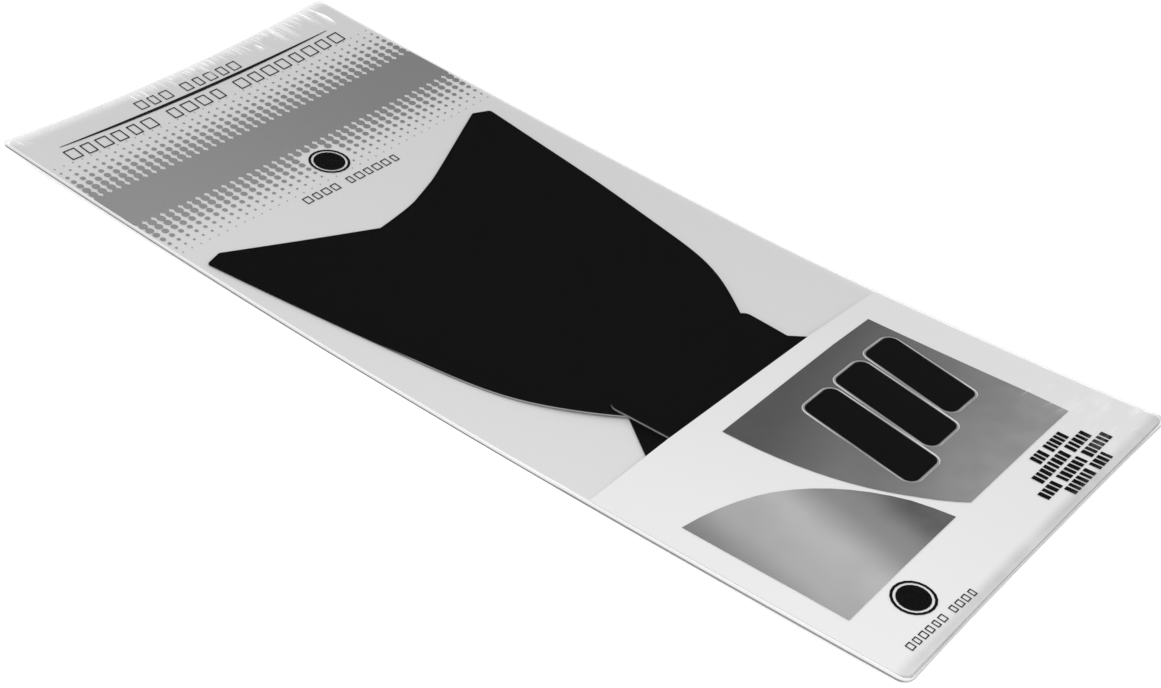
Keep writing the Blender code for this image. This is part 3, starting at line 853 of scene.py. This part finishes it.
@dataclass
class ClearWrap:
    """The clear film round the pack, its creases and its bright edges, all of them painted highlights,
    and the painted shade at its foot.
    """

    half_x: float = 0.1065
    half_y: float = 0.24185
    haze: float = 0.003
    highlight_glow: float = 0.18
    wall_solid: float = 0.85
    # the wrap's cut walls: painted highlight from this rise up, painted shade grey below it on the long
    # sides and at the foot
    wall_highlight_rise: Span = (0.35, 0.60)
    side_wall_shade: float = 0.26
    foot_wall_shade: float = 0.58
    foot_turn: Span = (0.0040, 0.0010)
    far_side: Span = (0.1040, 0.1050)
    far_head: Span = (0.0030, 0.0010)
    foot_shade: float = 0.13
    foot_band: Span = (0.0085, 0.0020)
    head_light: float = 0.62
    head_band: Span = (0.0075, 0.0004)
    side_light: float = 0.55
    side_band: Span = (0.0010, 0.0003)
    streak_light: float = 0.50
    streak_head: Span = (0.0200, 0.0060)
    streak_side: Span = (-0.030, 0.020)
    ripple_light: float = 0.22
    ripple_foot: Span = (0.060, 0.015)
    ripple_side: Span = (0.060, 0.095)
    seed: int = 11
    crease_rise: float = 0.00004
    crease_tip: float = 0.00008
    crease_highlight_glow: float = 0.5
    head_start: float = -0.0300
    head_pitch: float = 0.0038
    head_jitter: float = 0.0012
    head_room: float = 0.0016
    head_row: CreaseRow = CreaseRow(
        34, (0.0050, 0.0120), (0.0005, 0.0012), (84.0, 104.0), (0.0002, 0.0010), (0.40, 1.00)
    )
    corner_right: float = 0.0935
    corner_depth: float = 0.0180
    corner_foot: float = -0.2340
    corner_pitch: float = 0.0058
    corner_jitter: float = 0.0010
    corner_row: CreaseRow = CreaseRow(
        9, (0.0080, 0.0150), (0.0006, 0.0010), (-20.0, 10.0), (0.0002, 0.0010), (0.10, 0.26)
    )
    named: tuple[Crease, ...] = (
        Crease(0.0965, 0.2290, 0.0180, 0.0024, 92.0, 0.0009, 1.5),
        Crease(0.0508, 0.2312, 0.0080, 0.0013, 98.0, 0.0003, 1.3),
        Crease(-0.1012, 0.2362, 0.0090, 0.0010, 100.0, 0.0006, 0.8),
        Crease(-0.0975, 0.2340, 0.0070, 0.0008, 120.0, 0.0004, 0.5),
    )

    def build(self, nodes: Nodes) -> None:
        """Build the wrap as a smooth clear skin, then its creases.

        Args:
            nodes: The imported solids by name.
        """
        bm = joined(nodes["shrink_film"])
        layer = bm.verts.layers.float.new(Paint.RISE.value)
        for vert in bm.verts:
            vert[layer] = float(any(face.normal.z > BROAD_TILT for face in vert.link_faces))
        wrap = add_piece("clear_wrap", bm, self._film())
        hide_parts("shrink_film")
        self._creases(Ground(nodes["shrink_film"]))

    def _film(self) -> bpy.types.Material:
        """Return the wrap's material: clear on the flat, with painted highlights and painted shade along
        its turned edges and ends.

        Returns:
            A Principled material whose alpha and colour follow the place on the wrap.
        """
        board = Board("clear_wrap_film")
        x, y, _ = board.axes(board.spot)
        wall = board.wall()
        flat = board.rest(wall)
        foot_in = board.plus(self.half_y, y)
        head_in = board.math("SUBTRACT", self.half_y, y)
        bright, dim = self._skin(board, x, foot_in, head_in)
        skin_alpha = board.plus(board.plus(bright, dim), self.haze)
        skin_highlight = board.math("DIVIDE", bright, board.plus(skin_alpha, 0.0001))
        far = board.math("MAXIMUM", board.span(x, *self.far_side), board.span(head_in, *self.far_head))
        # The wall's top and its far sides are painted white as highlights; the rest of the wall is
        # painted shade
        wall_highlight = board.math("MAXIMUM", board.span(board.paint(Paint.RISE), *self.wall_highlight_rise), far)
        white = board.plus(board.times(wall, wall_highlight), board.times(flat, skin_highlight))
        alpha = board.plus(board.times(wall, self.wall_solid), board.times(flat, skin_alpha))
        at_foot = board.span(foot_in, *self.foot_turn)
        shade = board.mix(at_foot, grey(self.side_wall_shade), grey(self.foot_wall_shade))
        # The painted highlights glow, on the face and on the far walls only
        highlight_glow = board.times(white, board.rest(board.times(wall, board.rest(far))))
        board.set(Emission_Color=PURE_WHITE, Roughness=0.22, Specular_IOR_Level=0.4)
        board.feed(board.shader.inputs["Base Color"], board.mix(white, shade, grey(1.0)))
        board.feed(board.shader.inputs["Emission Strength"], board.times(highlight_glow, self.highlight_glow))
        board.feed(board.shader.inputs["Alpha"], board.math("MINIMUM", alpha, 1.0))
        return board.material

    def _skin(
        self, board: Board, x: Value, foot_in: Value, head_in: Value
    ) -> tuple[Socket, Socket]:
        """Wire how much light and how much shade the wrap's face shows in each place.

        Args:
            board: The material.
            x: The place across the card.
            foot_in: The distance from the foot end.
            head_in: The distance from the head end.

        Returns:
            The sockets of the light and of the shade.
        """
        side_in = board.math("SUBTRACT", self.half_x, board.math("ABSOLUTE", x))
        side = board.span(side_in, *self.side_band)
        wander = board.noise(60.0, 2.0, (1.0, 0.4, 1.0))
        foot = board.times(board.span(foot_in, *self.foot_band), board.span(wander, 0.25, 0.7, 0.5, 1.0))
        at_head = board.span(head_in, *self.head_band)
        head = board.times(at_head, board.span(wander, 0.2, 0.75, 0.45, 1.0))
        near_head = board.times(board.span(head_in, *self.streak_head), board.span(x, *self.streak_side))
        streak = board.times(board.span(board.noise(90.0, 2.0, (2.4, 0.22, 1.0)), 0.56, 0.74), near_head)
        corner = board.times(board.span(x, *self.ripple_side), board.span(foot_in, *self.ripple_foot))
        ripple = board.times(board.span(board.noise(75.0, 2.0, (0.5, 1.6, 1.0)), 0.52, 0.72), corner)
        bright = board.times(streak, self.streak_light)
        bright = board.plus(bright, board.times(head, self.head_light))
        bright = board.plus(bright, board.times(side, self.side_light))
        bright = board.plus(bright, board.times(ripple, self.ripple_light))
        return bright, board.times(foot, self.foot_shade)

    def _creases(self, ground: Ground) -> None:
        """Lay the creases of the wrap as thin tapered strips of painted highlight on its face.

        Args:
            ground: The wrap's surface.
        """
        rng = random.Random(self.seed)
        creases = list(self.named)
        for index in range(self.head_row.count):
            shift = rng.uniform(-self.head_jitter, self.head_jitter)
            x = self.head_start + index * self.head_pitch + shift
            length, *others = self.head_row.draw(rng)
            creases.append(Crease(x, self.half_y - self.head_room - length / 2, length, *others))
        for index in range(self.corner_row.count):
            x = self.corner_right - rng.uniform(0.0, self.corner_depth)
            y = self.corner_foot + index * self.corner_pitch
            y += rng.uniform(-self.corner_jitter, self.corner_jitter)
            creases.append(Crease(x, y, *self.corner_row.draw(rng)))
        bm = bmesh.new()
        layer = bm.verts.layers.float.new(Paint.GLINT.value)
        for crease in creases:
            self._strip(bm, layer, crease)
        ground.lay(bm, self.crease_rise)
        add_piece("wrap_crease_lights", bm, self._glint())

    def _strip(self, bm: bmesh.types.BMesh, layer: bmesh.types.BMLayerItem, crease: Crease) -> None:
        """Add one crease: a strip that tapers to both tips and is brightest along its middle.

        Args:
            bm: The mesh that it goes into.
            layer: The brightness layer.
            crease: The crease.
        """
        made = bmesh.ops.create_grid(bm, x_segments=10, y_segments=2, size=1.0)["verts"]
        turn = Matrix.Rotation(math.radians(crease.heading), 4, "Z")
        place = Matrix.Translation((crease.x, crease.y, 0.0))
        for vert in made:
            along, across = vert.co.x, vert.co.y
            taper = 1.0 - along * along
            vert[layer] = crease.peak * taper * (1.0 - abs(across))
            vert.co.x = along * crease.length / 2
            wide = crease.width * taper + self.crease_tip
            vert.co.y = across * wide / 2 + crease.bend * along * along
        bmesh.ops.transform(bm, matrix=place @ turn, verts=made)

    def _glint(self) -> bpy.types.Material:
        """Return the creases' material: a glowing painted highlight, white and solid only along their
        middles.
        """
        board = Board("crease_light")
        ripple = board.span(board.noise(1200.0, 2.0), 0.2, 0.8, 0.85, 1.0)
        alpha = board.times(board.paint(Paint.GLINT), ripple)
        board.set(Base_Color=PURE_WHITE, Roughness=0.35)
        board.set(Emission_Color=PURE_WHITE, Emission_Strength=self.crease_highlight_glow)
        board.feed(board.shader.inputs["Alpha"], board.math("MINIMUM", alpha, 1.0))
        return board.material


@dataclass(frozen=True)
class Lamp:
    """One soft square lamp, aimed at the set."""

    name: str
    place: Colour
    size: float
    power: float

    def build(self) -> None:
        """Hang the lamp."""
        data = bpy.data.lights.new(self.name, "AREA")
        data.size = self.size
        data.energy = self.power
        lamp = bpy.data.objects.new(self.name, data)
        lamp.location = self.place
        lamp.rotation_euler = (-Vector(self.place)).to_track_quat("-Z", "Y").to_euler()
        bpy.context.scene.collection.objects.link(lamp)


@dataclass
class Studio:
    """The floor, the lamps and the world."""

    floor_size: float = 6.0
    floor_drop: float = 0.0001
    floor_tone: float = 0.86
    floor_glow: float = 0.55
    world_level: float = 0.50
    world_shine: float = 0.20
    lamps: tuple[Lamp, ...] = (
        Lamp("key", (-0.76, -0.52, 0.86), 0.8, 8.8),
        Lamp("fill", (1.3, 1.2, 2.2), 2.0, 3.0),
    )

    def build(self) -> None:
        """Build the floor, the lamps and the world."""
        self._floor()
        self._world()
        for lamp in self.lamps:
            lamp.build()

    def _floor(self) -> None:
        """Lay a plain pale floor that shows white to the camera and keeps the shadow."""
        bm = bmesh.new()
        bmesh.ops.create_grid(bm, x_segments=1, y_segments=1, size=self.floor_size / 2)
        mesh = bpy.data.meshes.new("floor")
        bm.to_mesh(mesh)
        bm.free()
        floor = bpy.data.objects.new("floor", mesh)
        floor.location.z = -self.floor_drop
        bpy.context.scene.collection.objects.link(floor)
        board = Board("floor_white")
        board.set(Base_Color=(*grey(self.floor_tone), 1.0), Roughness=0.9)
        board.set(Specular_IOR_Level=0.0, Emission_Color=PURE_WHITE)
        path = board.tree.nodes.new("ShaderNodeLightPath")
        seen = board.math("MAXIMUM", path.outputs["Is Camera Ray"], path.outputs["Is Transmission Ray"])
        board.feed(board.shader.inputs["Emission Strength"], board.times(seen, self.floor_glow))
        mesh.materials.append(board.material)

    def _world(self) -> None:
        """Light the set evenly, and show white to the camera."""
        world = bpy.data.worlds.new("studio_world")
        bpy.context.scene.world = world
        world.use_nodes = True
        tree = world.node_tree
        tree.nodes.clear()
        out = tree.nodes.new("ShaderNodeOutputWorld")
        shine = tree.nodes.new("ShaderNodeBackground")
        shine.inputs["Color"].default_value = PURE_WHITE
        path = tree.nodes.new("ShaderNodeLightPath")
        seen = tree.nodes.new("ShaderNodeMath")
        seen.operation = "MAXIMUM"
        tree.links.new(path.outputs["Is Camera Ray"], seen.inputs[0])
        tree.links.new(path.outputs["Is Transmission Ray"], seen.inputs[1])
        mirror = tree.nodes.new("ShaderNodeMapRange")
        mirror.inputs["To Min"].default_value = self.world_level
        mirror.inputs["To Max"].default_value = self.world_shine
        tree.links.new(path.outputs["Is Glossy Ray"], mirror.inputs["Value"])
        level = tree.nodes.new("ShaderNodeMapRange")
        level.inputs["To Max"].default_value = 1.0
        tree.links.new(seen.outputs["Value"], level.inputs["Value"])
        tree.links.new(mirror.outputs["Result"], level.inputs["To Min"])
        tree.links.new(level.outputs["Result"], shine.inputs["Strength"])
        tree.links.new(shine.outputs["Background"], out.inputs["Surface"])


@dataclass
class PhotoView:
    """The camera at the photo's angle, worked out from the card's edges and print."""

    azimuth: float = -58.389
    elevation: float = 36.222
    roll: float = -9.416
    distance: float = 1.07676
    aim: tuple[float, float] = (-0.021770, -0.025290)
    focal_px: float = 2500.0
    width_px: float = 1161.0
    sensor_width: float = 36.0

    def build(self) -> None:
        """Place the camera and make it the scene's."""
        az, el, roll = (math.radians(v) for v in (self.azimuth, self.elevation, self.roll))
        toward = Vector((math.cos(el) * math.sin(az), -math.cos(el) * math.cos(az), math.sin(el)))
        place = Vector((self.aim[0], self.aim[1], 0.0)) + toward * self.distance
        forward = -toward
        across = forward.cross(Vector((0.0, 0.0, 1.0))).normalized()
        down = forward.cross(across)
        right = across * math.cos(roll) + down * math.sin(roll)
        low = down * math.cos(roll) - across * math.sin(roll)
        turn = Matrix((right, -low, -forward)).transposed()
        data = bpy.data.cameras.new("photo_view")
        data.sensor_width = self.sensor_width
        data.lens = self.sensor_width * self.focal_px / self.width_px
        camera = bpy.data.objects.new("photo_view", data)
        camera.matrix_world = Matrix.Translation(place) @ turn.to_4x4()
        bpy.context.scene.collection.objects.link(camera)
        bpy.context.scene.camera = camera


def main() -> None:
    """Load the solids, dress them, and set up the studio."""
    logging.basicConfig(level=logging.INFO, format="%(message)s")
    for item in list(bpy.data.objects):
        bpy.data.objects.remove(item)
    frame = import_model()
    nodes = frame["nodes"]
    PhotoView().build()
    BoardCard().build(nodes)
    FilmPieces().build(nodes)
    Leaflet().build(nodes)
    ClearWrap().build(nodes)
    Studio().build()
    bpy.context.scene.view_settings.view_transform = "Standard"


if __name__ == "__main__":
    main()
